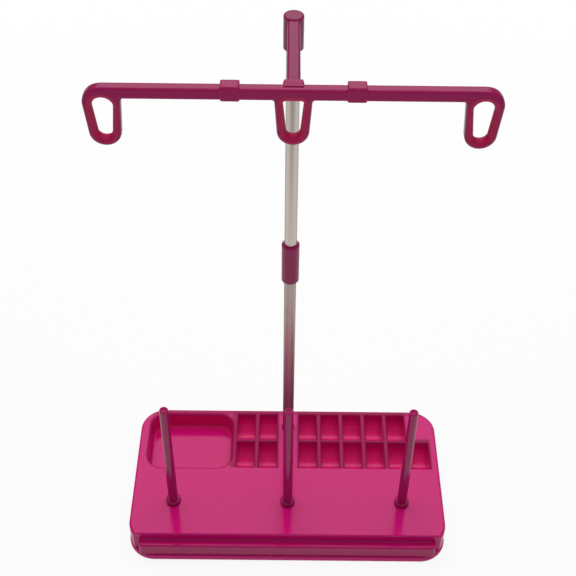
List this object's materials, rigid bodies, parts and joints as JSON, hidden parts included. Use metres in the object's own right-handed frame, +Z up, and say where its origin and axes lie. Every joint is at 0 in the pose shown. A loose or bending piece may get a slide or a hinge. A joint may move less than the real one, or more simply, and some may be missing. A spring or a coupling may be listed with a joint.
{
  "type": "thread spool stand",
  "caption": "Free-standing thread stand: moulded base with notions tray and bobbin cells, upright spool pins, and a tube mast carrying a swivelling guide bar with thread loops.",
  "frame": {"origin": "on the table under the middle of the base plate", "axes": "+Z up, front of the stand towards -Y, +X to the right seen from the front"},
  "size_m": [0.2176, 0.1168, 0.3607],
  "materials": {
    "magenta": "polished",
    "plum": "polished",
    "steel": "satin",
    "zinc": "zinc plated",
    "rubber": "matte"
  },
  "bodies": {
    "base": {"base_tray": "magenta", "base_plate": "magenta", "base_screws": "zinc", "foot_front_left": "rubber", "foot_front_right": "rubber", "foot_rear_left": "rubber", "foot_rear_right": "rubber", "mast_lower_tube": "steel", "mast_foot_insert": "zinc", "mast_screw": "zinc", "mast_washer": "zinc", "mast_collar": "plum"},
    "upper_mast": {"mast_upper_tube": "steel"},
    "guide_head": {"guide_arm": "plum", "guide_bar_centre": "plum"},
    "side_bar_left": {"guide_bar_left": "plum"},
    "side_bar_right": {"guide_bar_right": "plum"},
    "pin_left": {"spool_pin_left": "plum"},
    "pin_middle": {"spool_pin_middle": "plum"},
    "pin_right": {"spool_pin_right": "plum"}
  },
  "joints": [
    {"name": "mast_lift", "type": "slide", "parent": "base", "child": "upper_mast", "axis": [0, 0, 1], "range_m": [0, 0.018]},
    {"name": "head_turn", "type": "hinge", "parent": "upper_mast", "child": "guide_head", "pos_m": [0, 0.0421, 0.35], "axis": [0, 0, 1], "continuous": true},
    {"name": "side_bar_left_pull", "type": "slide", "parent": "guide_head", "child": "side_bar_left", "axis": [-1, 0, 0], "range_m": [0, 0.016]},
    {"name": "side_bar_right_pull", "type": "slide", "parent": "guide_head", "child": "side_bar_right", "axis": [1, 0, 0], "range_m": [0, 0.016]},
    {"name": "pin_left_lift", "type": "slide", "parent": "base", "child": "pin_left", "axis": [0, 0, 1], "range_m": [0, 0.013]},
    {"name": "pin_middle_lift", "type": "slide", "parent": "base", "child": "pin_middle", "axis": [0, 0, 1], "range_m": [0, 0.013]},
    {"name": "pin_right_lift", "type": "slide", "parent": "base", "child": "pin_right", "axis": [0, 0, 1], "range_m": [0, 0.013]}
  ]
}
